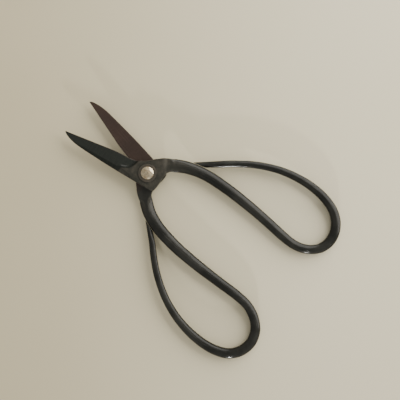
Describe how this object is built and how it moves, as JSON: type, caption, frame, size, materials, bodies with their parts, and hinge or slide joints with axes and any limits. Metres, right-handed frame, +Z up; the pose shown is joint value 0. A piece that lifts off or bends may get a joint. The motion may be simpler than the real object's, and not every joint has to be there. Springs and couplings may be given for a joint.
{
  "type": "floral snips",
  "caption": "Forged floral snips: short ground blades crossing at a peened rivet, with shanks drawn out into two large rod finger loops.",
  "frame": {"origin": "middle of the flat foot of the lower rivet head, on the pivot's axis, at the lowest plane of the part", "axes": "+X along the centre line from the pivot to the blade tips, +Y towards the front half's blade, +Z up along the pivot's axis, out through the front half"},
  "size_m": [0.1818, 0.1283, 0.0107],
  "materials": {
    "blackened_steel": "fire-blackened and oiled, satin on the ground faces and glossy on the rods",
    "rivet_steel": "bright, hammered over by hand",
    "washer_steel": "dark with a bronze heat tint"
  },
  "bodies": {
    "back": {"back_half": "blackened_steel", "pivot_rivet": "rivet_steel", "front_washer": "washer_steel", "back_washer": "washer_steel"},
    "front": {"front_half": "blackened_steel"}
  },
  "joints": [
    {"name": "pivot", "type": "hinge", "parent": "back", "child": "front", "pos_m": [0, 0, 0], "axis": [0, 0, 1], "range_deg": [-23.5, 66.5]}
  ]
}
